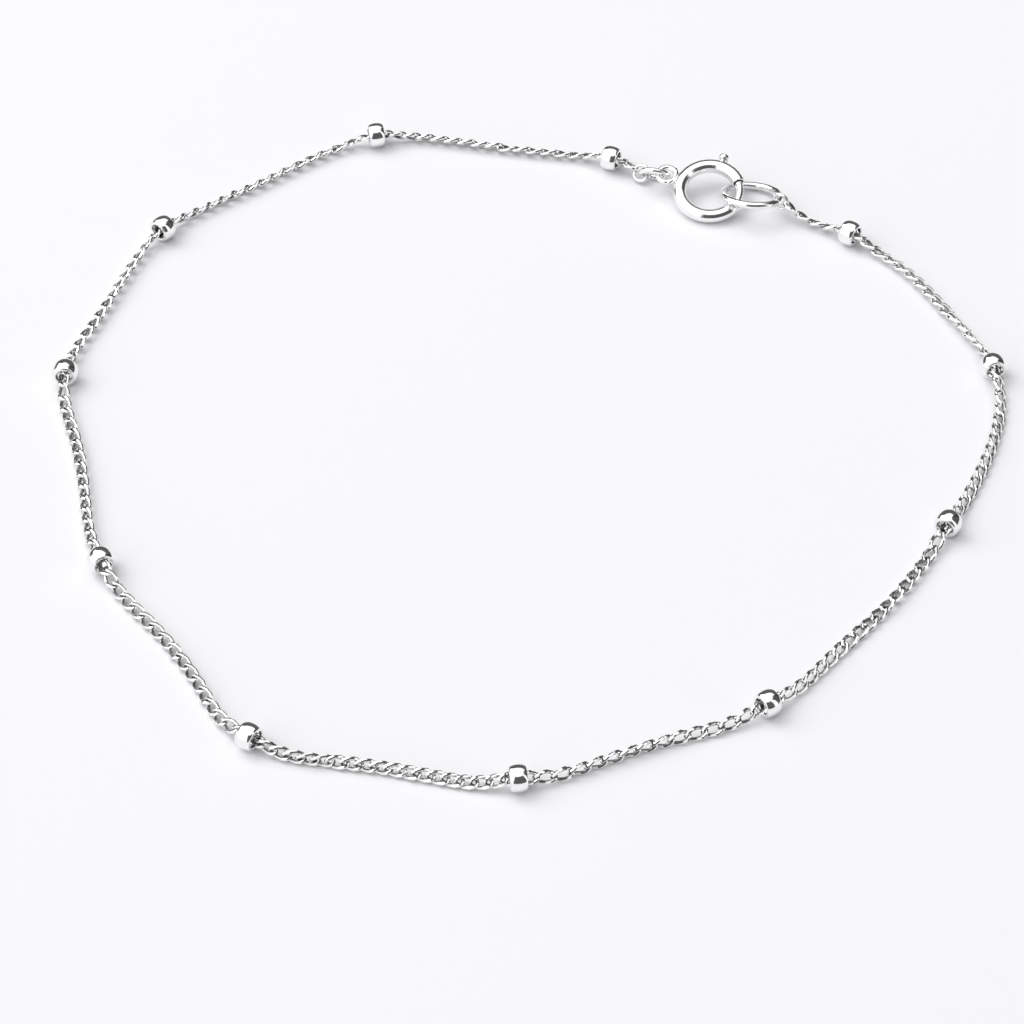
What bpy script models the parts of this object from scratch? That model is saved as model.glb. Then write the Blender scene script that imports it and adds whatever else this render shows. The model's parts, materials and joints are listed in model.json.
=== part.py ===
"""Satellite chain bracelet: a fine curb chain with drilled round beads, closed by a spring ring clasp.

It lies on a flat surface as one closed, uneven oval. Metres, +Z up, the origin on the surface at the
middle of the bracelet's box, +X to the right of the view and +Y away from it. The clasp is at the back.
"""

import math

import bmesh
import bpy
import numpy as np
from mathutils import Matrix, Vector

# Chain: the twisted links fill a round envelope of this width
CHAIN_WIDTH = 0.00085
END_LINK_RADIUS = 0.00056
END_LINK_WIRE = 0.00024
CHAIN_FALL = 0.0026
ROUTE_STEP = 0.0028

# Beads: short barrels with flat ends, drilled for the chain
BEAD_DIAMETER = 0.00175
BEAD_RIM_DIAMETER = 0.0016
BEAD_LENGTH = 0.0011
BEAD_BAND = 0.00036
BEAD_PLAY = 0.00012
BEAD_SIDES = 16

# Clasp: a hollow tube bent to a ring, open at the gate
CLASP_RADIUS = 0.0021
CLASP_TUBE = 0.00095
CLASP_WALL = 0.00013
CLASP_TILT = math.radians(15.9)
CLASP_HEADING = math.radians(-9.5)
CLASP_X, CLASP_Y = 0.01261, 0.02363
GATE_FROM = math.radians(-22)
GATE_TO = math.radians(26)

# Eye: the small ring soldered outside the tube
EYE_RADIUS = 0.00062
EYE_WIRE = 0.0004
EYE_SINK = 0.0001
EYE_ANGLE = math.radians(163)

# Latch: the curved wire inside the tube, with its thumb knob
LATCH_PLAY = 0.00008
LATCH_OVERLAP = math.radians(5)
LATCH_TAIL = math.radians(125)
KNOB_ANGLE = math.radians(78)
KNOB_DIAMETER = 0.00075
KNOB_LENGTH = 0.00042
STEM_DIAMETER = 0.0004
STEM_PLAY = 0.00008
KNOB_STANDS_OFF = 0.00014

# Rings: plain closed wire rings
JUMP_RADIUS = 0.001
JUMP_WIRE = 0.0004
JUMP_HEADING = math.radians(150.9)
JUMP_PITCH = math.radians(22)
JUMP_LEAN = math.radians(50)
END_RING_RADIUS = 0.002
END_RING_WIRE = 0.00052
END_RING_INSIDE = 0.00114
RING_GAP = 0.00008
FLOOR_GAP = 0.00003

# Where the chain's last links lie on the rings
LEFT_LINK_LEAN = math.radians(-45)
RIGHT_LINK_LEAN = math.radians(80)
RIGHT_LINK_ANGLE = math.radians(-15)

# Route of the chain, seen from above, from the clasp's eye round to its gate: the bead places
# and the points that the chain passes between one bead and the next
BEAD_PLACES = [
    (0.00580, 0.02745), (-0.01081, 0.02999), (-0.02525, 0.01992), (-0.03077, 0.00537),
    (-0.02703, -0.01196), (-0.01698, -0.02668), (-0.00081, -0.03000), (0.01435, -0.02402),
    (0.02654, -0.00869), (0.03074, 0.00595), (0.02212, 0.01940),
]
BETWEEN_BEADS = [
    [(0.00063, 0.02870), (-0.00497, 0.02975)],
    [(-0.01557, 0.02775), (-0.02057, 0.02398)],
    [(-0.02737, 0.01610), (-0.02932, 0.01070)],
    [(-0.02987, 0.00020), (-0.02857, -0.00600)],
    [(-0.02367, -0.01700), (-0.02027, -0.02220)],
    [(-0.01132, -0.02845), (-0.00567, -0.02960)],
    [(0.00423, -0.02835), (0.00923, -0.02635)],
    [(0.01863, -0.01970), (0.02283, -0.01460)],
    [(0.02893, -0.00400), (0.03081, 0.00170)],
    [(0.02841, 0.01150), (0.02568, 0.01610)],
]


def clear_scene():
    for obj in list(bpy.data.objects):
        bpy.data.objects.remove(obj, do_unlink=True)


def new_collection(name, hidden=False):
    made = bpy.data.collections.new(name)
    made.hide_render = hidden
    bpy.context.scene.collection.children.link(made)
    return made


def silver(name, shade, roughness):
    """Polished silver, a little brighter or darker and smoother or duller on each piece."""
    material = bpy.data.materials.new(name)
    material.use_nodes = True
    shader = material.node_tree.nodes["Principled BSDF"]
    shader.inputs["Base Color"].default_value = (shade, shade, shade * 1.01, 1)
    shader.inputs["Metallic"].default_value = 1
    shader.inputs["Roughness"].default_value = roughness
    return material


def add_object(name, data, collection, material=None):
    obj = bpy.data.objects.new(name, data)
    collection.objects.link(obj)
    if material and data and not data.materials:
        data.materials.append(material)
    return obj


def mesh_from(bm, name):
    bmesh.ops.recalc_face_normals(bm, faces=bm.faces)
    mesh = bpy.data.meshes.new(name)
    bm.to_mesh(mesh)
    bm.free()
    mesh.shade_smooth()
    mesh.set_sharp_from_angle(angle=math.radians(40))
    return mesh


def cutter(name, mesh, collection, parent=None):
    obj = add_object(name, mesh, collection)
    obj.hide_render = True
    obj.display_type = "WIRE"
    obj.parent = parent
    return obj


def boolean(obj, other, operation):
    modifier = obj.modifiers.new(operation.lower() + " " + other.name, "BOOLEAN")
    modifier.object = other
    modifier.operation = operation
    modifier.solver = "EXACT"


def wire_ring(name, radius, wire, around, sides):
    """A closed ring of round wire, flat in its own XY plane."""
    bpy.ops.mesh.primitive_torus_add(
        major_segments=around, minor_segments=sides, major_radius=radius, minor_radius=wire / 2
    )
    obj = bpy.context.active_object
    mesh = obj.data
    mesh.name = name
    bpy.data.objects.remove(obj, do_unlink=True)
    mesh.shade_smooth()
    return mesh


def spun(name, section, start, sweep, step=math.radians(7.5)):
    """Turns a flat section, given as a bmesh with one face, about Z from start through sweep."""
    bmesh.ops.rotate(section, verts=section.verts, matrix=Matrix.Rotation(start, 3, "Z"))
    bmesh.ops.spin(
        section,
        geom=section.verts[:] + section.edges[:] + section.faces[:],
        cent=(0, 0, 0),
        axis=(0, 0, 1),
        angle=sweep,
        steps=max(2, round(sweep / step)),
        use_duplicate=False,
    )
    return mesh_from(section, name)


def round_section(bend_radius, diameter, sides):
    section = bmesh.new()
    upright = Matrix.Translation((bend_radius, 0, 0)) @ Matrix.Rotation(math.pi / 2, 4, "X")
    bmesh.ops.create_circle(
        section, cap_ends=True, radius=diameter / 2, segments=sides, matrix=upright
    )
    return section


def square_section(inner, outer, height):
    section = bmesh.new()
    size = Matrix.Diagonal((outer - inner, 1, height, 1))
    upright = Matrix.Translation(((inner + outer) / 2, 0, 0)) @ size
    bmesh.ops.create_grid(
        section, x_segments=1, y_segments=1, size=0.5,
        matrix=upright @ Matrix.Rotation(math.pi / 2, 4, "X"),
    )
    return section


def frame_at(place, heading, pitch=0.0, lean=0.0):
    """X along the heading, dipped by pitch, then leaned about X."""
    turn = Matrix.Rotation(heading, 4, "Z") @ Matrix.Rotation(pitch, 4, "Y")
    return Matrix.Translation(place) @ turn @ Matrix.Rotation(lean, 4, "X")


def circle_points(frame, radius, count=120):
    """Points on a circle in the XY plane of a frame, as rows."""
    angles = np.linspace(0, 2 * math.pi, count, endpoint=False)
    flat = np.stack([radius * np.cos(angles), radius * np.sin(angles), 0 * angles, 1 + 0 * angles])
    return (np.array(frame) @ flat)[:3].T


def closest(points, others):
    return np.linalg.norm(points[:, None] - others[None], axis=2).min()


def resting_height(frame, radius, wire):
    """The height at which a leaning ring's lowest point just clears the surface."""
    reach = radius * math.hypot(frame[2][0], frame[2][1])
    return reach + wire / 2 + FLOOR_GAP


def clasp_frame():
    lean = frame_at((0, 0, 0), CLASP_HEADING, 0, CLASP_TILT)
    height = resting_height(lean, CLASP_RADIUS, CLASP_TUBE)
    return Matrix.Translation((CLASP_X, CLASP_Y, height)) @ lean


def end_ring_frame(clasp):
    """The end ring hooks the clasp: it leans just enough for its wire to pass under and over the tube."""
    along = CLASP_RADIUS - END_RING_INSIDE + END_RING_RADIUS
    place = clasp.translation + Matrix.Rotation(CLASP_HEADING, 3, "Z") @ Vector((along, 0, 0))
    tube = circle_points(clasp, CLASP_RADIUS)
    need = CLASP_TUBE / 2 + END_RING_WIRE / 2 + RING_GAP
    for degrees in range(0, 90):
        frame = frame_at(place, CLASP_HEADING, 0, -math.radians(degrees))
        frame.translation.z = max(
            place.z, resting_height(frame, END_RING_RADIUS, END_RING_WIRE)
        )
        if closest(tube, circle_points(frame, END_RING_RADIUS)) > need:
            return frame
    return frame


def eye_place(clasp):
    out = CLASP_RADIUS + CLASP_TUBE / 2 + EYE_RADIUS + EYE_WIRE / 2 - EYE_SINK
    return Vector((out * math.cos(EYE_ANGLE), out * math.sin(EYE_ANGLE), 0))


def jump_ring_frame(clasp):
    frame = frame_at(clasp @ eye_place(clasp), JUMP_HEADING, JUMP_PITCH, JUMP_LEAN)
    frame.translation += frame.col[0].to_3d() * JUMP_RADIUS
    frame.translation.z = resting_height(frame, JUMP_RADIUS, JUMP_WIRE)
    return frame


def end_link_frame(ring, ring_radius, ring_wire, angle, bead, lean):
    """The last link of the chain hangs on a ring's wire and points to the bead next to it."""
    on_wire = ring @ Vector((ring_radius * math.cos(angle), ring_radius * math.sin(angle), 0))
    way = Vector((bead[0] - on_wire.x, bead[1] - on_wire.y, 0)).normalized()
    pulled = END_LINK_RADIUS - END_LINK_WIRE / 2 - ring_wire / 2 - RING_GAP
    place = on_wire + way * pulled
    frame = frame_at(place, math.atan2(way.y, way.x), 0, lean)
    lowest = resting_height(frame, END_LINK_RADIUS, END_LINK_WIRE)
    frame.translation.z = max(place.z, lowest)
    return frame


def slopes_through(points, first, last):
    """Slopes of the smoothest curve through the points, with its ends pointing as given."""
    spans = np.linalg.norm(np.diff(points, axis=0), axis=1)
    count = len(points)
    table = np.eye(count)
    known = np.zeros((count, 2))
    known[0], known[-1] = first, last
    for i in range(1, count - 1):
        before, after = 1 / spans[i - 1], 1 / spans[i]
        table[i, i - 1 : i + 2] = before, 2 * (before + after), after
        known[i] = 3 * (points[i] - points[i - 1]) * before**2
        known[i] += 3 * (points[i + 1] - points[i]) * after**2
    return np.linalg.solve(table, known), spans


def even_points(points, first, last):
    """Points about a route step apart, evenly spaced, inside the smooth curve through the given ones."""
    slopes, spans = slopes_through(points, first, last)
    fine = [points[0]]
    for i, span in enumerate(spans):
        for t in np.linspace(0, 1, 25)[1:]:
            place = points[i] * (2 * t**3 - 3 * t**2 + 1) + points[i + 1] * (3 * t**2 - 2 * t**3)
            place += span * slopes[i] * (t**3 - 2 * t**2 + t)
            place += span * slopes[i + 1] * (t**3 - t**2)
            fine.append(place)
    fine = np.array(fine)
    run = np.concatenate([[0], np.cumsum(np.linalg.norm(np.diff(fine, axis=0), axis=1))])
    count = max(1, round(run[-1] / ROUTE_STEP) - 1)
    wanted = np.linspace(0, run[-1], count + 2)[1:-1]
    flat = np.stack([np.interp(wanted, run, fine[:, 0]), np.interp(wanted, run, fine[:, 1])], 1)
    return flat, wanted, run[-1]


def chain_ways(left_end, right_end):
    """The chain's direction at each bead: from the point before it to the point after it."""
    ways = []
    for i, bead in enumerate(BEAD_PLACES):
        before = BETWEEN_BEADS[i - 1][-1] if i else left_end
        after = BETWEEN_BEADS[i][0] if i < len(BETWEEN_BEADS) else right_end
        back = (np.array(bead) - before) / np.linalg.norm(np.array(bead) - before)
        ahead = (np.array(after) - bead) / np.linalg.norm(np.array(after) - bead)
        ways.append((back + ahead) / np.linalg.norm(back + ahead))
    return ways


def hanging(flat, run, whole, start_height, end_height):
    """Adds heights: the chain falls from what holds it at either end and lies on the surface between."""
    lying = CHAIN_WIDTH / 2 + FLOOR_GAP
    placed = []
    for (x, y), s in zip(flat, run):
        falls = max(0, 1 - s / CHAIN_FALL) ** 2, max(0, 1 - (whole - s) / CHAIN_FALL) ** 2
        rise = falls[0] * (start_height - lying) + falls[1] * (end_height - lying)
        placed.append((x, y, lying + max(0, rise)))
    return placed


def chain_route(left, right, ways, bead_height):
    """The chain's middle line, from the left end link through every bead to the right end link."""
    half = BEAD_LENGTH / 2 + BEAD_PLAY
    ends = []
    for link in (left, right):
        out = link.col[0].to_3d()
        ends.append(link.translation + out * END_LINK_RADIUS)
    route = [tuple(ends[0])]
    start, start_way = np.array(ends[0][:2]), np.array(left.col[0][:2])
    start_height = ends[0].z
    for i, (bead, way) in enumerate(zip(BEAD_PLACES, ways)):
        arrive = np.array(bead) - way * half
        leave = np.array(bead) + way * half
        inner = BETWEEN_BEADS[i - 1] if i else []
        knots = np.array([start, *inner, arrive])
        flat, run, whole = even_points(knots, start_way, way)
        route += hanging(flat, run, whole, start_height, bead_height)
        route += [(*arrive, bead_height), (*leave, bead_height)]
        start, start_way, start_height = leave, way, bead_height
    knots = np.array([start, ends[1][:2]])
    flat, run, whole = even_points(knots, start_way, -np.array(right.col[0][:2]))
    route += hanging(flat, run, whole, bead_height, ends[1].z)
    route.append(tuple(ends[1]))
    return route


def make_chain(route, links, parts, cutters):
    """The strand as a tube, with its last link at each end made whole and soldered on."""
    curve = bpy.data.curves.new("chain route", "CURVE")
    curve.dimensions = "3D"
    curve.bevel_depth = CHAIN_WIDTH / 2
    curve.bevel_resolution = 2
    curve.use_fill_caps = True
    spline = curve.splines.new("POLY")
    spline.points.add(len(route) - 1)
    for point, place in zip(spline.points, route):
        point.co = (*place, 1)
    path = add_object("chain route", curve, parts)
    bpy.context.view_layer.update()
    mesh = bpy.data.meshes.new_from_object(path.evaluated_get(bpy.context.evaluated_depsgraph_get()))
    bpy.data.objects.remove(path, do_unlink=True)
    bm = bmesh.new()
    bm.from_mesh(mesh)
    bmesh.ops.remove_doubles(bm, verts=bm.verts, dist=CHAIN_WIDTH / 1000)
    chain = add_object("chain", mesh_from(bm, "chain"), parts, silver("chain silver", 0.86, 0.2))
    for side, frame in links.items():
        ring = wire_ring(side + " end link", END_LINK_RADIUS, END_LINK_WIRE, 16, 6)
        link = cutter(side + " end link", ring, cutters)
        link.matrix_world = frame
        boolean(chain, link, "UNION")
    return chain


def make_beads(ways, bead_height, parts):
    """Turned barrels: flat ends, crisp rims and a side that swells a little to its middle band."""
    half, band = BEAD_LENGTH / 2, BEAD_BAND / 2
    rim, middle = BEAD_RIM_DIAMETER / 2, BEAD_DIAMETER / 2
    shoulder = (rim + 2 * middle) / 3
    bore = CHAIN_WIDTH / 2 + BEAD_PLAY
    outline = [
        (bore, half), (rim, half), (shoulder, (half + band) / 2), (middle, band),
        (middle, -band), (shoulder, -(half + band) / 2), (rim, -half), (bore, -half),
    ]
    profile = bmesh.new()
    corners = [profile.verts.new((x, 0, z)) for x, z in outline]
    for i, corner in enumerate(corners):
        profile.edges.new((corner, corners[(i + 1) % len(corners)]))
    mesh = bpy.data.meshes.new("bead profile")
    profile.to_mesh(mesh)
    profile.free()
    mesh.materials.append(silver("bead silver", 0.9, 0.08))
    for number, (place, way) in enumerate(zip(BEAD_PLACES, ways), 1):
        bead = add_object(f"bead_{number}", mesh, parts)
        lying = Matrix.Rotation(math.atan2(way[1], way[0]), 4, "Z")
        lying = lying @ Matrix.Rotation(math.pi / 2, 4, "Y")
        facet_down = Matrix.Rotation(math.pi / BEAD_SIDES, 4, "Z")
        bead.matrix_world = Matrix.Translation((*place, bead_height)) @ lying @ facet_down
        turn = bead.modifiers.new("turn", "SCREW")
        turn.steps = turn.render_steps = BEAD_SIDES
        turn.use_merge_vertices = True
        turn.merge_threshold = 0.00001
        turn.use_smooth_shade = True


def make_clasp_ring(axis, parts, cutters):
    """The hollow tube, open at the gate and slotted for the knob, with its eye soldered on."""
    round_the_back = 2 * math.pi - (GATE_TO - GATE_FROM)
    outer = spun("clasp tube", round_section(CLASP_RADIUS, CLASP_TUBE, 12), GATE_TO, round_the_back)
    ring = add_object("clasp_ring", outer, parts, silver("clasp silver", 0.88, 0.1))
    ring.parent = axis
    eye = wire_ring("eye", EYE_RADIUS, EYE_WIRE, 20, 8)
    soldered = cutter("eye", eye, cutters, axis)
    soldered.location = eye_place(axis.matrix_world)
    boolean(ring, soldered, "UNION")
    past = math.radians(2)
    bore = spun(
        "bore", round_section(CLASP_RADIUS, CLASP_TUBE - 2 * CLASP_WALL, 12),
        GATE_TO - past, round_the_back + 2 * past,
    )
    boolean(ring, cutter("bore", bore, cutters, axis), "DIFFERENCE")
    stem_room = STEM_DIAMETER / 2 + STEM_PLAY
    stem_angle = stem_room / (CLASP_RADIUS + CLASP_TUBE / 2 - CLASP_WALL)
    slot = spun(
        "slot", square_section(CLASP_RADIUS, CLASP_RADIUS + CLASP_TUBE, 2 * stem_room),
        KNOB_ANGLE - stem_angle, latch_travel() + 2 * stem_angle,
    )
    boolean(ring, cutter("slot", slot, cutters, axis), "DIFFERENCE")
    return ring


def latch_travel():
    """The latch draws back until its tip leaves the gate clear."""
    return GATE_TO - GATE_FROM + LATCH_OVERLAP


def make_latch(axis, parts, cutters):
    """The curved wire that shuts the gate, with a stem out through the slot and a round knob on it."""
    wire = CLASP_TUBE - 2 * CLASP_WALL - 2 * LATCH_PLAY
    tip = GATE_FROM - LATCH_OVERLAP
    rod = spun("latch wire", round_section(CLASP_RADIUS, wire, 10), tip, LATCH_TAIL - tip)
    latch = add_object("clasp_latch", rod, parts, silver("latch silver", 0.84, 0.14))
    latch.parent = axis
    outward = Matrix.Rotation(KNOB_ANGLE, 4, "Z") @ Matrix.Rotation(math.pi / 2, 4, "Y")
    seat = CLASP_RADIUS + CLASP_TUBE / 2 + KNOB_STANDS_OFF
    for name, diameter, inner, outer, sides in (
        ("stem", STEM_DIAMETER, CLASP_RADIUS, seat + KNOB_LENGTH / 2, 10),
        ("knob", KNOB_DIAMETER, seat, seat + KNOB_LENGTH, 16),
    ):
        bm = bmesh.new()
        bmesh.ops.create_cone(
            bm, cap_ends=True, segments=sides, radius1=diameter / 2, radius2=diameter / 2,
            depth=outer - inner, matrix=Matrix.Translation((0, 0, (inner + outer) / 2)),
        )
        if name == "knob":
            rims = [edge for edge in bm.edges if len({round(v.co.z, 9) for v in edge.verts}) == 1]
            bmesh.ops.bevel(
                bm, geom=rims, offset=KNOB_LENGTH / 5, segments=2, profile=0.5, affect="EDGES"
            )
        piece = cutter(name, mesh_from(bm, name), cutters, axis)
        piece.matrix_local = outward
        boolean(latch, piece, "UNION")
    return latch


def make_ring(name, radius, wire, frame, shade, parts):
    ring = wire_ring(name, radius, wire, 28, 8)
    obj = add_object(name, ring, parts, silver(name.replace("_", " ") + " silver", shade, 0.1))
    obj.matrix_world = frame
    return obj


def build():
    clear_scene()
    parts = new_collection("satellite chain bracelet")
    cutters = new_collection("cutters", hidden=True)

    clasp = clasp_frame()
    axis = bpy.data.objects.new("clasp axis", None)
    parts.objects.link(axis)
    axis.empty_display_size = CLASP_RADIUS
    axis.matrix_world = clasp
    bpy.context.view_layer.update()
    make_clasp_ring(axis, parts, cutters)
    make_latch(axis, parts, cutters)

    end_ring = end_ring_frame(clasp)
    jump_ring = jump_ring_frame(clasp)
    make_ring("end_ring", END_RING_RADIUS, END_RING_WIRE, end_ring, 0.88, parts)
    make_ring("jump_ring", JUMP_RADIUS, JUMP_WIRE, jump_ring, 0.87, parts)

    links = {
        "left": end_link_frame(
            jump_ring, JUMP_RADIUS, JUMP_WIRE, 0, BEAD_PLACES[0], LEFT_LINK_LEAN
        ),
        "right": end_link_frame(
            end_ring, END_RING_RADIUS, END_RING_WIRE, RIGHT_LINK_ANGLE, BEAD_PLACES[-1],
            RIGHT_LINK_LEAN,
        ),
    }
    bead_height = BEAD_DIAMETER / 2 * math.cos(math.pi / BEAD_SIDES)
    ways = chain_ways(links["left"].translation[:2], links["right"].translation[:2])
    route = chain_route(links["left"], links["right"], ways, bead_height)
    make_chain(route, links, parts, cutters)
    make_beads(ways, bead_height, parts)


build()
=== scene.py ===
import json
import math

import bmesh
import bpy
import numpy as np
from mathutils import Matrix, Vector


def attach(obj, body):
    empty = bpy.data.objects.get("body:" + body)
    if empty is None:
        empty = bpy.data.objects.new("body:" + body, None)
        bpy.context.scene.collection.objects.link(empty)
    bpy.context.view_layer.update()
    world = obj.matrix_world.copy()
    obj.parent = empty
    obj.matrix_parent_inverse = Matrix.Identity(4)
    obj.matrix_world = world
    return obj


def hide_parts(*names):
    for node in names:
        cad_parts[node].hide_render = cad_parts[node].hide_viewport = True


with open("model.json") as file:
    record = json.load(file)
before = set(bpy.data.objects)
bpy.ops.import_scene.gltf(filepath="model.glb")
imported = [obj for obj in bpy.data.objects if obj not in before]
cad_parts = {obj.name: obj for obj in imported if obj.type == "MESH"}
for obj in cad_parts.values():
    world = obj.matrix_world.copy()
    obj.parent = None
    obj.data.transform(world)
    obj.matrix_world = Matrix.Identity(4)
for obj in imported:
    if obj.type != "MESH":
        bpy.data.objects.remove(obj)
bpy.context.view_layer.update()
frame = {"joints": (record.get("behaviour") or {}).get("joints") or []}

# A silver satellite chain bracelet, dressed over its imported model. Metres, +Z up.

# The chain's link
# Every link is a short length of silver wire, bent to an oval and soldered shut, then given a quarter
# twist so that the curb chain lies flat. The finished chain is bright-cut: small flat facets run along
# the wire and across its outer sides, and flash light and dark. It is modelled once and copied.
WIRE = 0.00026
LINK_WIDTH = 0.00095
LINK_LENGTH = 0.00164
LINK_TWIST = math.radians(-96)
LINK_SECTIONS = 14
WIRE_FACETS = 8
OUTER_CUT = 0.00031


def deselect_all():
    bpy.ops.object.select_all(action="DESELECT")


def pick(piece, kind, passes):
    """Enters edit mode and selects the vertices, edges or faces that pass a test."""
    bpy.context.view_layer.objects.active = piece
    bpy.ops.object.mode_set(mode="EDIT")
    bpy.context.tool_settings.mesh_select_mode = (kind == "verts", kind == "edges", kind == "faces")
    bpy.ops.mesh.select_all(action="DESELECT")
    shape = bmesh.from_edit_mesh(piece.data)
    for part in getattr(shape, kind):
        part.select_set(passes(part))
    shape.select_flush_mode()
    bmesh.update_edit_mesh(piece.data)


def finish_editing(piece, name):
    """Turns the faces outwards, leaves edit mode, and names the piece and its mesh."""
    bpy.context.view_layer.objects.active = piece
    bpy.ops.object.mode_set(mode="EDIT")
    bpy.ops.mesh.select_all(action="SELECT")
    bpy.ops.mesh.normals_make_consistent(inside=False)
    bpy.ops.object.mode_set(mode="OBJECT")
    piece.name = piece.data.name = name
    return piece


def apply_modifier(piece, kind, **settings):
    modifier = piece.modifiers.new(kind.lower(), kind)
    for key, value in settings.items():
        setattr(modifier, key, value)
    bpy.context.view_layer.objects.active = piece
    bpy.ops.object.modifier_apply(modifier=modifier.name)


def smooth(piece, angle=40):
    deselect_all()
    piece.select_set(True)
    bpy.context.view_layer.objects.active = piece
    bpy.ops.object.shade_smooth_by_angle(angle=math.radians(angle))


bend = (LINK_WIDTH - WIRE) / 2
stretch = (LINK_LENGTH - LINK_WIDTH) / 2
deselect_all()
bpy.ops.mesh.primitive_torus_add(
    major_segments=LINK_SECTIONS, minor_segments=WIRE_FACETS, major_radius=bend, minor_radius=WIRE / 2
)
link = bpy.context.object
sections = [math.tau * number / LINK_SECTIONS for number in range(LINK_SECTIONS)]
section_of = [
    round(math.atan2(vert.co.y, vert.co.x) % math.tau / math.tau * LINK_SECTIONS)
    for vert in link.data.vertices
]
for number, angle in enumerate(sections):
    pick(link, "verts", lambda vert: section_of[vert.index] % LINK_SECTIONS == number)
    bpy.ops.transform.translate(value=(stretch * math.cos(angle), 0, 0))
finish_editing(link, "link")
# The recess value grows towards the inside of the wire's bend, where the links meet and shade falls. It
# darkens the colour there as painted shade, and makes the finish rougher.
recess = link.data.attributes.new("recess", "FLOAT", "POINT")
for vert, number, depth in zip(link.data.vertices, section_of, recess.data):
    angle = math.tau * number / LINK_SECTIONS
    inward = bend - math.hypot(vert.co.x - stretch * math.cos(angle), vert.co.y)
    depth.value = max(0, inward / (WIRE / 2))
apply_modifier(link, "SIMPLE_DEFORM", deform_method="TWIST", deform_axis="X", angle=LINK_TWIST)
for side in (1, -1):
    pick(link, "verts", lambda vert: vert.co.z * side > OUTER_CUT)
    bpy.ops.transform.resize(value=(1, 1, 0), center_override=(0, 0, side * OUTER_CUT))
finish_editing(link, "link")
smooth(link, 35)

# Silver
# All the pieces are sterling silver, polished in a tumbler. Handling leaves hair scratches and slightly
# cloudy patches, and the polish never reaches the recesses, which stay a little rougher. Their colour
# is also darkened there as painted shade, where shade falls inside the links' bends and the beads'
# bores.
CLOUD_DARKENING = 0.025
CLOUD_ROUGHNESS = 0.05
HAIR_ROUGHNESS = 0.12
HAIR_DEPTH = 0.000004
# Painted shade: how much the colour is darkened where the Recess value is high.
RECESS_PAINTED_SHADE = 0.75
RECESS_ROUGHNESS = 0.25


def math_node(tree, operation, first, second):
    """Adds a sum to a shader's tree. Its two values are numbers or other nodes' outputs."""
    node = tree.nodes.new("ShaderNodeMath")
    node.operation = operation
    for socket, value in zip(node.inputs, (first, second)):
        if isinstance(value, (int, float)):
            socket.default_value = value
        else:
            tree.links.new(value, socket)
    return node.outputs["Value"]


def new_silver_group():
    group = bpy.data.node_groups.new("handled silver and painted recess shade", "ShaderNodeTree")
    for name, start in (("Tone", 1.0), ("Polish", 0.05), ("Scratches", 0.3), ("Recess", 0.0)):
        socket = group.interface.new_socket(name, in_out="INPUT", socket_type="NodeSocketFloat")
        socket.default_value = start
    for name, kind in (("Color", "Color"), ("Roughness", "Float"), ("Normal", "Vector")):
        group.interface.new_socket(name, in_out="OUTPUT", socket_type="NodeSocket" + kind)
    make, join = group.nodes.new, group.links.new
    given, result = make("NodeGroupInput"), make("NodeGroupOutput")
    places = make("ShaderNodeTexCoord")

    def noise(scale, detail, stretch=(1, 1, 1), turn=(0, 0, 0)):
        mapping, texture = make("ShaderNodeMapping"), make("ShaderNodeTexNoise")
        mapping.inputs["Scale"].default_value = stretch
        mapping.inputs["Rotation"].default_value = turn
        texture.inputs["Scale"].default_value = scale
        texture.inputs["Detail"].default_value = detail
        join(places.outputs["Object"], mapping.inputs["Vector"])
        join(mapping.outputs["Vector"], texture.inputs["Vector"])
        return texture.outputs["Fac"]

    def between(value, low, high, to_low, to_high):
        ranged = make("ShaderNodeMapRange")
        for name, number in (
            ("From Min", low), ("From Max", high), ("To Min", to_low), ("To Max", to_high)
        ):
            ranged.inputs[name].default_value = number
        join(value, ranged.inputs["Value"])
        return ranged.outputs["Result"]

    def maths(operation, first, second):
        return math_node(group, operation, first, second)

    cloud = between(noise(1300, 3), 0.35, 0.7, 0, 1)
    one_way = noise(26000, 2, stretch=(1, 0.06, 0.06), turn=(0.3, 0.2, 0.5))
    other_way = noise(30000, 2, stretch=(0.06, 1, 0.06), turn=(0.1, 0.6, -0.4))
    hairs = between(maths("MAXIMUM", one_way, other_way), 0.6, 0.74, 0, 1)
    hairs = maths("MULTIPLY", hairs, given.outputs["Scratches"])

    # Painted shade: the Recess value darkens the colour where shade falls, inside the links' bends and
    # the beads' bores.
    painted_shade = maths("MULTIPLY", given.outputs["Recess"], RECESS_PAINTED_SHADE)
    tone = maths("SUBTRACT", given.outputs["Tone"], maths("MULTIPLY", cloud, CLOUD_DARKENING))
    tone = maths("MULTIPLY", tone, maths("SUBTRACT", 1.0, painted_shade))
    shade = make("ShaderNodeCombineColor")
    join(tone, shade.inputs["Red"])
    join(maths("MULTIPLY", tone, 0.995), shade.inputs["Green"])
    join(tone, shade.inputs["Blue"])
    join(shade.outputs["Color"], result.inputs["Color"])

    rough = maths("ADD", given.outputs["Polish"], maths("MULTIPLY", cloud, CLOUD_ROUGHNESS))
    rough = maths("ADD", rough, maths("MULTIPLY", hairs, HAIR_ROUGHNESS))
    rough = maths("ADD", rough, maths("MULTIPLY", given.outputs["Recess"], RECESS_ROUGHNESS))
    join(rough, result.inputs["Roughness"])

    bump = make("ShaderNodeBump")
    bump.inputs["Strength"].default_value = 0.6
    bump.inputs["Distance"].default_value = HAIR_DEPTH
    join(maths("SUBTRACT", 1.0, hairs), bump.inputs["Height"])
    join(bump.outputs["Normal"], result.inputs["Normal"])
    return group


silver_group = new_silver_group()


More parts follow.
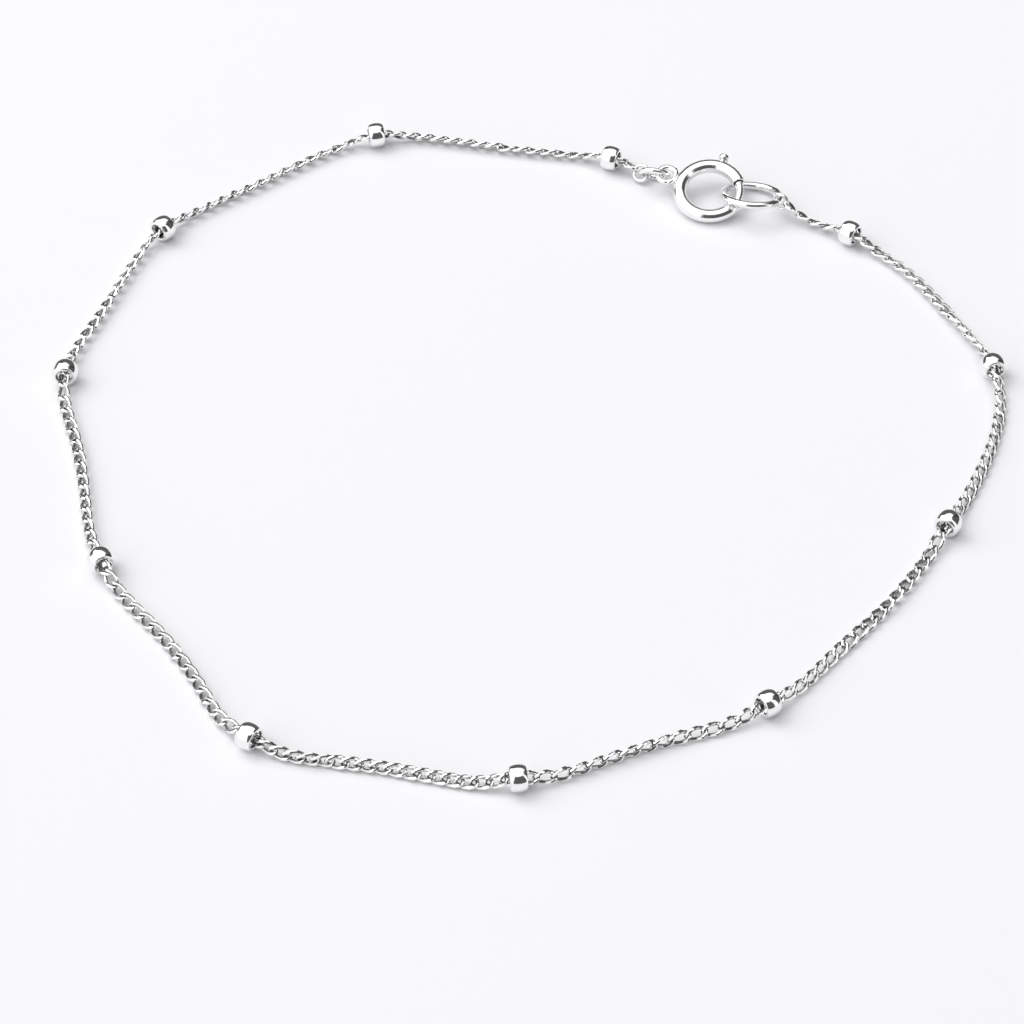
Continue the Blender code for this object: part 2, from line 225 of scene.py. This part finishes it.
def silver(name, tone, polish, scratches, recess_attribute=None):
    material = bpy.data.materials.new(name)
    material.use_nodes = True
    nodes, join = material.node_tree.nodes, material.node_tree.links.new
    shader = nodes["Principled BSDF"]
    shader.inputs["Metallic"].default_value = 1
    look = nodes.new("ShaderNodeGroup")
    look.node_tree = silver_group
    look.inputs["Tone"].default_value = tone
    look.inputs["Polish"].default_value = polish
    look.inputs["Scratches"].default_value = scratches
    if recess_attribute:
        recess = nodes.new("ShaderNodeAttribute")
        recess.attribute_name = recess_attribute
        join(recess.outputs["Fac"], look.inputs["Recess"])
    join(look.outputs["Color"], shader.inputs["Base Color"])
    join(look.outputs["Roughness"], shader.inputs["Roughness"])
    join(look.outputs["Normal"], shader.inputs["Normal"])
    return material


def fit(piece, material, body, node):
    """Gives a finished piece its silver, and puts it in the place of its node."""
    piece.data.materials.append(material)
    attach(piece, body)
    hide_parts(node)


# The chain's route
# The finished chain is threaded through the beads and laid down as a loop. It lies on the surface,
# rises to the middle of each bead that it passes through, and to the round end link at either end.
BEAD_PLACES = [
    (0.00580, 0.02745), (-0.01081, 0.02999), (-0.02525, 0.01992), (-0.03077, 0.00537),
    (-0.02703, -0.01196), (-0.01698, -0.02668), (-0.00081, -0.03000), (0.01435, -0.02402),
    (0.02654, -0.00869), (0.03074, 0.00595), (0.02212, 0.01940),
]
BETWEEN_BEADS = [
    [(0.00063, 0.02870), (-0.00497, 0.02975)],
    [(-0.01557, 0.02775), (-0.02057, 0.02398)],
    [(-0.02737, 0.01610), (-0.02932, 0.01070)],
    [(-0.02987, 0.00020), (-0.02857, -0.00600)],
    [(-0.02367, -0.01700), (-0.02027, -0.02220)],
    [(-0.01132, -0.02845), (-0.00567, -0.02960)],
    [(0.00423, -0.02835), (0.00923, -0.02635)],
    [(0.01863, -0.01970), (0.02283, -0.01460)],
    [(0.02893, -0.00400), (0.03081, 0.00170)],
    [(0.02841, 0.01150), (0.02568, 0.01610)],
]
BEAD_LENGTH = 0.0011
BEAD_DIAMETER = 0.00175
BEAD_PLAY = 0.00012
CHAIN_FALL = 0.0026
END_LINK_RADIUS = 0.00056
END_LINK_WIRE = 0.00024
END_LINK_HOLD = 0.00009
FLOOR_GAP = 0.00003
END_LINKS = {
    "left": (Vector((0.007902, 0.026054, 0.000658)), math.radians(146.4), math.radians(-45)),
    "right": (Vector((0.01744, 0.02229, 0.001257)), math.radians(-31.7), math.radians(80)),
}


def unit(vector):
    return vector / np.linalg.norm(vector)


def smooth_line(knots, first, last, parts=24):
    """The smoothest line through the knots that starts and ends in the given directions."""
    spans = np.linalg.norm(np.diff(knots, axis=0), axis=1)
    table = np.eye(len(knots))
    known = np.zeros((len(knots), 2))
    known[0], known[-1] = first, last
    for i in range(1, len(knots) - 1):
        before, after = 1 / spans[i - 1], 1 / spans[i]
        table[i, i - 1 : i + 2] = before, 2 * (before + after), after
        known[i] = 3 * (knots[i] - knots[i - 1]) * before**2
        known[i] += 3 * (knots[i + 1] - knots[i]) * after**2
    slopes = np.linalg.solve(table, known)
    t = np.linspace(0, 1, parts, endpoint=False)[:, None]
    line = []
    for i, span in enumerate(spans):
        piece = knots[i] * (2 * t**3 - 3 * t**2 + 1) + knots[i + 1] * (3 * t**2 - 2 * t**3)
        piece = piece + span * slopes[i] * (t**3 - 2 * t**2 + t)
        line.append(piece + span * slopes[i + 1] * (t**3 - t**2))
    return np.vstack(line)


def end_link_way(side):
    heading = END_LINKS[side][1]
    return np.array((math.cos(heading), math.sin(heading)))


places = np.array(BEAD_PLACES)
ends = {side: np.array(END_LINKS[side][0][:2]) for side in END_LINKS}
bead_ways = []
for i, place in enumerate(places):
    before = BETWEEN_BEADS[i - 1][-1] if i else ends["left"]
    after = BETWEEN_BEADS[i][0] if i < len(BETWEEN_BEADS) else ends["right"]
    bead_ways.append(unit(unit(place - before) + unit(after - place)))

half_bead = BEAD_LENGTH / 2 + BEAD_PLAY
hold = END_LINK_RADIUS - END_LINK_HOLD
start, start_way = ends["left"] + end_link_way("left") * hold, end_link_way("left")
runs = []
for i, (place, way) in enumerate(zip(places, bead_ways)):
    inner = BETWEEN_BEADS[i - 1] if i else []
    runs.append(smooth_line(np.array([start, *inner, place - way * half_bead]), start_way, way))
    runs.append(place + np.outer(np.linspace(-half_bead, half_bead, 8, endpoint=False), way))
    start, start_way = place + way * half_bead, way
finish_place = ends["right"] + end_link_way("right") * hold
runs.append(smooth_line(np.array([start, finish_place]), start_way, -end_link_way("right")))
plan = np.vstack([*runs, finish_place])
run = np.concatenate([[0], np.cumsum(np.linalg.norm(np.diff(plan, axis=0), axis=1))])
bead_runs = [run[np.linalg.norm(plan - place, axis=1).argmin()] for place in places]

# The curb chain
# A strand of 174 links, each looped through the next, and a round end link at either end that the
# jump ring and the end ring pass through. Where the strand has turned as it fell, its links show
# another side, and where it was pushed together they lie closer.
LINKS_BETWEEN = [2, 17, 17, 15, 17, 17, 19, 15, 19, 15, 16, 5]
TURNS = [
    (20, 40), (30, 60), (35, 60), (50, 30), (30, 55), (35, 45, 50), (80, 70, 60, 52, 46),
    (62, 72, 98, 88, 60, 50, 40), (50, 60, 20, -15, -15, 10), (35, 45, 30), (40, 10, 30), (30, 31),
]
TURN_SPREAD = 6
bead_height = BEAD_DIAMETER / 2
chain_stops = [0, *bead_runs, run[-1]]
holders = [(0, 0, END_LINKS["left"][0].z)]
holders += [(stop, half_bead, bead_height) for stop in bead_runs]
holders += [(run[-1], 0, END_LINKS["right"][0].z)]


def place_at(s):
    return np.array((np.interp(s, run, plan[:, 0]), np.interp(s, run, plan[:, 1])))


def lifted(s, lying):
    """The height of the chain's middle: it falls from what holds it and then lies on the surface."""
    height = lying
    for stop, inside, held in holders:
        fall = min(1, max(0, 1 - (abs(s - stop) - inside) / CHAIN_FALL))
        height += fall**2 * (held - lying)
    return height


link_points = np.array([vert.co for vert in link.data.vertices])
chaos = np.random.default_rng(11)
chain_parts = []
for gap, count in enumerate(LINKS_BETWEEN):
    stops = np.linspace(chain_stops[gap], chain_stops[gap + 1], count + 1)
    for number in range(count):
        share = (number + 0.5) / count
        turn = np.interp(share, np.linspace(0, 1, len(TURNS[gap])), TURNS[gap])
        turn = math.radians(turn + chaos.normal(0, TURN_SPREAD))
        across = link_points @ np.array(Matrix.Rotation(turn, 3, "X")).T
        lying = FLOOR_GAP - across[:, 2].min()
        a, b = (Vector((*place_at(s), lifted(s, lying))) for s in stops[number : number + 2])
        along = (b - a).normalized()
        lean = along.to_track_quat("X", "Z").to_matrix().to_4x4()
        copy = link.copy()
        copy.data = link.data.copy()
        copy.data.transform(Matrix.Translation((a + b) / 2) @ lean @ Matrix.Rotation(turn, 4, "X"))
        bpy.context.scene.collection.objects.link(copy)
        chain_parts.append(copy)
bpy.data.objects.remove(link)

for place, heading, lean in END_LINKS.values():
    deselect_all()
    bpy.ops.mesh.primitive_torus_add(
        major_segments=24, minor_segments=8, major_radius=END_LINK_RADIUS,
        minor_radius=END_LINK_WIRE / 2,
    )
    end_link = finish_editing(bpy.context.object, "end_link")
    end_link.data.attributes.new("recess", "FLOAT", "POINT")
    turned = Matrix.Rotation(heading, 4, "Z") @ Matrix.Rotation(lean, 4, "X")
    end_link.data.transform(Matrix.Translation(place) @ turned)
    smooth(end_link, 80)
    chain_parts.append(end_link)

deselect_all()
for part in chain_parts:
    part.select_set(True)
bpy.context.view_layer.objects.active = chain_parts[0]
bpy.ops.object.join()
curb_chain = bpy.context.object
curb_chain.name = curb_chain.data.name = "curb_chain"
chain_silver = silver("chain silver", tone=0.86, polish=0.02, scratches=0.25, recess_attribute="recess")
fit(curb_chain, chain_silver, "root", "chain")

# The beads
# Each bead is turned from silver rod: a short barrel with flat ends and crisp rims, drilled through
# for the chain and pinched on it. Its side swells a little to a band round the middle.
BEAD_RIM = 0.00148
BEAD_BORE = 0.00109
BEAD_SIDES = 48
BARREL_CURVE = 2.4
RIM_ROUNDING = 0.00007
# Painted shade, and a slightly rougher finish, inside the beads' bores.
BORE_SHADE_AND_ROUGHNESS = 0.1
bead_silver = silver("bead silver", tone=0.94, polish=0.035, scratches=0.3, recess_attribute="recess")

deselect_all()
bpy.ops.mesh.primitive_cylinder_add(
    vertices=BEAD_SIDES, radius=BEAD_RIM / 2, depth=BEAD_LENGTH, end_fill_type="NGON"
)
bead = bpy.context.object
pick(bead, "edges", lambda edge: abs(edge.verts[0].co.z - edge.verts[1].co.z) > BEAD_LENGTH / 2)
bpy.ops.mesh.subdivide(number_cuts=9)
rows = sorted({round(vert.co.z, 7) for vert in bmesh.from_edit_mesh(bead.data).verts})
for row in rows[1:-1]:
    swell = 1 + (BEAD_DIAMETER / BEAD_RIM - 1) * (1 - abs(2 * row / BEAD_LENGTH) ** BARREL_CURVE)
    pick(bead, "verts", lambda vert: abs(vert.co.z - row) < BEAD_LENGTH / 100)
    bpy.ops.transform.resize(value=(swell, swell, 1))
pick(bead, "faces", lambda face: abs(face.normal.z) > 0.9)
bpy.ops.mesh.inset(thickness=(BEAD_RIM - BEAD_BORE) / 2, use_individual=True)
pick(bead, "faces", lambda face: len(face.verts) == BEAD_SIDES)
bpy.ops.mesh.bridge_edge_loops()
bpy.ops.mesh.select_all(action="DESELECT")
finish_editing(bead, "bead")


def at_rim(edge):
    a, b = (vert.co for vert in edge.verts)
    return abs(a.z - b.z) < BEAD_LENGTH / 100 and abs(abs(a.z) - BEAD_LENGTH / 2) < BEAD_LENGTH / 100


pick(bead, "edges", lambda edge: at_rim(edge) and abs(edge.calc_face_angle(0)) > 1)
bpy.ops.mesh.bevel(offset=RIM_ROUNDING, segments=3)
finish_editing(bead, "bead")
# The bore's small recess value gives it painted shade and a slightly rougher finish.
recess = bead.data.attributes.new("recess", "FLOAT", "POINT")
for vert, depth in zip(bead.data.vertices, recess.data):
    in_bore = math.hypot(vert.co.x, vert.co.y) < BEAD_BORE / 2 + RIM_ROUNDING / 2
    depth.value = BORE_SHADE_AND_ROUGHNESS if in_bore else 0.0
smooth(bead, 30)

for number, (place, way) in enumerate(zip(places, bead_ways), 1):
    copy = bead.copy()
    copy.data = bead.data.copy()
    copy.name = copy.data.name = f"turned_bead_{number}"
    bpy.context.scene.collection.objects.link(copy)
    lying = Matrix.Rotation(math.atan2(way[1], way[0]), 4, "Z") @ Matrix.Rotation(math.pi / 2, 4, "Y")
    copy.data.transform(Matrix.Translation((*place, bead_height)) @ lying)
    fit(copy, bead_silver, "root", f"bead_{number}")
bpy.data.objects.remove(bead)

# The small jump ring
# A round of silver wire, cut from a coil and bent shut, so that its two ends meet in a fine seam. It
# ties the chain's left end link to the eye of the clasp.
JUMP_RING_RADIUS = 0.001
JUMP_RING_WIRE = 0.0004
JUMP_RING_SEAM = 0.00002
SEAM_ANGLE = math.radians(-65)
ring_silver = silver("ring silver", tone=0.93, polish=0.05, scratches=0.5)


def bent_wire(name, radius, wire, start, sweep, step=math.radians(4), sides=20):
    """Round wire bent about Z, with its two ends cut square and their edges just broken."""
    deselect_all()
    bpy.ops.mesh.primitive_circle_add(vertices=sides, radius=wire / 2)
    piece = bpy.context.object
    stood = Matrix.Translation((radius, 0, 0)) @ Matrix.Rotation(math.pi / 2, 4, "X")
    piece.data.transform(Matrix.Rotation(start, 4, "Z") @ stood)
    pick(piece, "verts", lambda vert: True)
    bpy.ops.mesh.spin(steps=round(sweep / step), angle=sweep, center=(0, 0, 0), axis=(0, 0, -1))
    bpy.ops.mesh.select_all(action="SELECT")
    bpy.ops.mesh.fill_holes(sides=sides)
    finish_editing(piece, name)
    pick(piece, "faces", lambda face: len(face.verts) == sides)
    bpy.ops.mesh.bevel(offset=wire / 14, segments=2)
    return finish_editing(piece, name)


def lie_of(node):
    """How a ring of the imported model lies: its middle, and the way that its flat side faces."""
    points = np.array([vert.co for vert in bpy.data.objects[node].data.vertices])
    middle = points.mean(axis=0)
    facing = Vector(np.linalg.svd(points - middle, full_matrices=False)[2][2])
    facing = facing if facing.z > 0 else -facing
    return Matrix.Translation(middle) @ facing.to_track_quat("Z", "Y").to_matrix().to_4x4()


seam = JUMP_RING_SEAM / JUMP_RING_RADIUS
small_ring = bent_wire(
    "small_jump_ring", JUMP_RING_RADIUS, JUMP_RING_WIRE, SEAM_ANGLE, 2 * math.pi - seam
)
small_ring.data.transform(lie_of("jump_ring"))
smooth(small_ring)
fit(small_ring, ring_silver, "root", "jump_ring")

# The end ring
# A larger ring of thicker wire on the chain's right end, which the clasp hooks. Its ends are soldered
# together and filed, which leaves a slight swelling at the joint.
END_RING_RADIUS = 0.002
END_RING_WIRE = 0.00052
JOINT_ANGLE = math.radians(-140)
JOINT_SWELLING = ((0.5, 1.05), (5.5, 1.03))
deselect_all()
bpy.ops.mesh.primitive_torus_add(
    major_segments=72, minor_segments=20, major_radius=END_RING_RADIUS, minor_radius=END_RING_WIRE / 2
)
end_ring = bpy.context.object
for reach, swell in JOINT_SWELLING:
    pick(end_ring, "verts", lambda vert: abs(math.degrees(math.atan2(vert.co.y, vert.co.x))) < reach)
    bpy.ops.transform.resize(value=(swell, 1, swell), center_override=(END_RING_RADIUS, 0, 0))
finish_editing(end_ring, "hooked_end_ring")
end_ring.data.transform(lie_of("end_ring") @ Matrix.Rotation(JOINT_ANGLE, 4, "Z"))
smooth(end_ring)
fit(end_ring, ring_silver, "root", "end_ring")

# The clasp's ring
# A thin silver tube bent to a ring that stays open at the gate, with a slot sawn along its outside for
# the knob. The small eye that the jump ring goes through is bent from wire and soldered on.
CLASP_RADIUS = 0.0021
CLASP_TUBE = 0.00095
CLASP_WALL = 0.00013
GATE_FROM = math.radians(-22)
GATE_TO = math.radians(26)
SLOT = math.radians(70), math.radians(138)
SLOT_HEIGHT = 0.00061
EYE_ANGLE = math.radians(163)
EYE_RADIUS = 0.00062
EYE_WIRE = 0.0004
EYE_SINK = 0.0001
EYE_FOOT_SWELL = 1.12
SOLDER_SHAPE = (0.7, 1.7, 0.85)
SOLDER_TIP = 0.8
clasp_silver = silver("clasp silver", tone=0.93, polish=0.05, scratches=0.6)

hinge = frame["joints"][0]
hinge_axis = Vector(hinge["axis"])
across = Vector((0, 0, 1)).cross(hinge_axis).normalized()
clasp_turn = Matrix((across, hinge_axis.cross(across), hinge_axis)).transposed().to_4x4()
clasp_place = Matrix.Translation(hinge["pos_m"]) @ clasp_turn

deselect_all()
bpy.ops.mesh.primitive_circle_add(vertices=36, radius=CLASP_TUBE / 2)
clasp = bpy.context.object
stood = Matrix.Translation((CLASP_RADIUS, 0, 0)) @ Matrix.Rotation(math.pi / 2, 4, "X")
clasp.data.transform(Matrix.Rotation(GATE_TO, 4, "Z") @ stood)
pick(clasp, "verts", lambda vert: True)
bpy.ops.mesh.spin(
    steps=78, angle=2 * math.pi - (GATE_TO - GATE_FROM), center=(0, 0, 0), axis=(0, 0, -1)
)


def over_slot(face):
    middle = face.calc_center_median()
    outside = math.hypot(middle.x, middle.y) > CLASP_RADIUS + CLASP_TUBE / 4
    within = SLOT[0] < math.atan2(middle.y, middle.x) < SLOT[1]
    return outside and within and abs(middle.z) < SLOT_HEIGHT / 2


finish_editing(clasp, "clasp_tube")
pick(clasp, "faces", over_slot)
bpy.ops.mesh.delete(type="FACE")
finish_editing(clasp, "clasp_tube")
apply_modifier(clasp, "SOLIDIFY", thickness=CLASP_WALL, offset=-1)
apply_modifier(clasp, "BEVEL", width=CLASP_WALL / 5, segments=2, limit_method="ANGLE", angle_limit=1)

eye_reach = CLASP_RADIUS + CLASP_TUBE / 2 + EYE_RADIUS + EYE_WIRE / 2 - EYE_SINK
bpy.ops.mesh.primitive_torus_add(
    major_segments=40, minor_segments=16, major_radius=EYE_RADIUS, minor_radius=EYE_WIRE / 2
)
eye = bpy.context.object
pick(eye, "verts", lambda vert: vert.co.x < EYE_WIRE / 2 - EYE_RADIUS)
bpy.ops.transform.resize(
    value=(1, EYE_FOOT_SWELL, EYE_FOOT_SWELL), center_override=(-EYE_RADIUS, 0, 0)
)
finish_editing(eye, "eye")
eye.data.transform(Matrix.Rotation(EYE_ANGLE, 4, "Z") @ Matrix.Translation((eye_reach, 0, 0)))

bpy.ops.mesh.primitive_uv_sphere_add(segments=20, ring_count=10, radius=EYE_WIRE / 2)
solder = bpy.context.object
pick(solder, "verts", lambda vert: True)
bpy.ops.transform.resize(value=SOLDER_SHAPE)
pick(solder, "verts", lambda vert: abs(vert.co.y) > EYE_WIRE / 2)
bpy.ops.transform.resize(value=(1, 1, SOLDER_TIP))
finish_editing(solder, "solder")
solder_reach = CLASP_RADIUS + CLASP_TUBE / 2
solder.data.transform(Matrix.Rotation(EYE_ANGLE, 4, "Z") @ Matrix.Translation((solder_reach, 0, 0)))

deselect_all()
for piece in (eye, solder, clasp):
    piece.select_set(True)
bpy.context.view_layer.objects.active = clasp
bpy.ops.object.join()
clasp.name = clasp.data.name = "spring_ring_tube"
clasp.data.transform(clasp_place)
smooth(clasp)
fit(clasp, clasp_silver, "root", "clasp_ring")

# The clasp's latch
# A curved silver wire that a hidden spring pushes across the gate. It slides in the tube, and its
# thumb knob stands on a stem through the slot.
LATCH_WIRE = 0.00053
LATCH_FROM = math.radians(-27)
LATCH_TO = math.radians(125)
KNOB_ANGLE = math.radians(78)
STEM_DIAMETER = 0.0004
KNOB_SEAT = 0.002715
KNOB_DIAMETER = 0.00075
KNOB_LENGTH = 0.00042
latch = bent_wire("latch_wire", CLASP_RADIUS, LATCH_WIRE, LATCH_FROM, LATCH_TO - LATCH_FROM)

bpy.ops.mesh.primitive_cylinder_add(
    vertices=28, radius=STEM_DIAMETER / 2, depth=KNOB_SEAT - CLASP_RADIUS,
    location=(0, 0, (KNOB_SEAT + CLASP_RADIUS) / 2),
)
bpy.ops.object.transform_apply()
knob = bpy.context.object
pick(knob, "faces", lambda face: face.normal.z > 0.9)
bpy.ops.mesh.extrude_region_move()
widen = KNOB_DIAMETER / STEM_DIAMETER
bpy.ops.transform.resize(value=(widen, widen, 1))
bpy.ops.mesh.extrude_region_move(TRANSFORM_OT_translate={"value": (0, 0, KNOB_LENGTH)})
finish_editing(knob, "knob")


def at_knob_rim(edge):
    level = abs(edge.verts[0].co.z - edge.verts[1].co.z) < KNOB_LENGTH / 100
    return level and all(math.hypot(vert.co.x, vert.co.y) > KNOB_DIAMETER * 0.45 for vert in edge.verts)


pick(knob, "edges", at_knob_rim)
bpy.ops.mesh.bevel(offset=KNOB_LENGTH / 3, segments=4)
finish_editing(knob, "knob")
knob.data.transform(Matrix.Rotation(KNOB_ANGLE, 4, "Z") @ Matrix.Rotation(math.pi / 2, 4, "Y"))

deselect_all()
for piece in (knob, latch):
    piece.select_set(True)
bpy.context.view_layer.objects.active = latch
bpy.ops.object.join()
latch.name = latch.data.name = "sprung_latch"
latch.data.transform(clasp_place)
smooth(latch)
latch_silver = silver("latch silver", tone=0.9, polish=0.07, scratches=0.8)
fit(latch, latch_silver, "latch", "clasp_latch")

# Floor, light and camera
# A pale matte floor under soft daylight from a large window at the upper left. Three darker sides of
# the room, behind the camera, to the right and at the back, give the silver its dark bands.
deselect_all()
bpy.ops.mesh.primitive_plane_add(size=4)
floor = bpy.context.object
floor.name = "floor"
floor_paint = bpy.data.materials.new("pale floor")
floor_paint.use_nodes = True
floor_shader = floor_paint.node_tree.nodes["Principled BSDF"]
floor_shader.inputs["Base Color"].default_value = (0.915, 0.915, 0.932, 1)
floor_shader.inputs["Roughness"].default_value = 0.9
floor_shader.inputs["Specular IOR Level"].default_value = 0.1
floor.data.materials.append(floor_paint)

world = bpy.data.worlds.new("studio")
world.use_nodes = True
bpy.context.scene.world = world
make, join = world.node_tree.nodes.new, world.node_tree.links.new
background = world.node_tree.nodes["Background"]
way_in = make("ShaderNodeTexCoord").outputs["Generated"]
split = make("ShaderNodeSeparateXYZ")
join(way_in, split.inputs["Vector"])


def fade(value, off, full):
    """Rises smoothly from 0, where the value is off, to 1, where it is full."""
    ramp = make("ShaderNodeMapRange")
    ramp.interpolation_type = "SMOOTHSTEP"
    rising = full > off
    ramp.inputs["From Min"].default_value = min(off, full)
    ramp.inputs["From Max"].default_value = max(off, full)
    ramp.inputs["To Min"].default_value = 0 if rising else 1
    ramp.inputs["To Max"].default_value = 1 if rising else 0
    join(value, ramp.inputs["Value"])
    return ramp.outputs["Result"]


def combined(operation, first, second):
    return math_node(world.node_tree, operation, first, second)


def dark_side(light, azimuth, half_width, low, high, level, soft=7):
    """Darkens a side of the room, in degrees: azimuth 0 is behind the camera and 90 to the right."""
    turn = math.radians(azimuth)
    level_way = make("ShaderNodeCombineXYZ")
    join(split.outputs["X"], level_way.inputs["X"])
    join(split.outputs["Y"], level_way.inputs["Y"])
    flat = make("ShaderNodeVectorMath")
    flat.operation = "NORMALIZE"
    join(level_way.outputs["Vector"], flat.inputs[0])
    near = make("ShaderNodeVectorMath")
    near.operation = "DOT_PRODUCT"
    near.inputs[1].default_value = (math.sin(turn), -math.cos(turn), 0)
    join(flat.outputs["Vector"], near.inputs[0])
    half, blur = math.radians(half_width), math.radians(soft)
    beside = fade(near.outputs["Value"], math.cos(half + blur), math.cos(half))
    bottom, top = math.radians(low), math.radians(high)
    above = fade(split.outputs["Z"], math.sin(bottom - blur), math.sin(bottom))
    below = fade(split.outputs["Z"], math.sin(top + blur), math.sin(top))
    there = combined("MULTIPLY", beside, combined("MULTIPLY", above, below))
    taken = combined("MULTIPLY", there, 1 - level)
    return combined("MULTIPLY", light, combined("SUBTRACT", 1.0, taken))


light = dark_side(1.0, azimuth=17, half_width=37, low=-12, high=55, level=0.08)
light = dark_side(light, azimuth=102, half_width=22, low=-8, high=55, level=0.07)
light = dark_side(light, azimuth=185, half_width=61, low=-8, high=41, level=0.09)
shown = make("ShaderNodeLightPath").outputs["Is Camera Ray"]
seen = make("ShaderNodeMix")
join(shown, seen.inputs["Factor"])
join(light, seen.inputs["A"])
seen.inputs["B"].default_value = 0.95
join(seen.outputs["Result"], background.inputs["Color"])
background.inputs["Strength"].default_value = 1.27

key = bpy.data.lights.new("window", "AREA")
key.size = 0.75
key.energy = 4.08
window = bpy.data.objects.new("window", key)
window.location = (-0.56, 0.32, 0.72)
window.rotation_euler = (-window.location).to_track_quat("-Z", "Y").to_euler()
bpy.context.scene.collection.objects.link(window)

camera_data = bpy.data.cameras.new("camera")
camera_data.lens = 130
camera_data.clip_start = 0.005
camera = bpy.data.objects.new("camera", camera_data)
camera.location = (-0.00117, -0.1738, 0.16808)
camera.rotation_euler = (math.radians(44.81), 0, 0)
bpy.context.scene.collection.objects.link(camera)
bpy.context.scene.camera = camera
bpy.context.scene.view_settings.view_transform = "Standard"
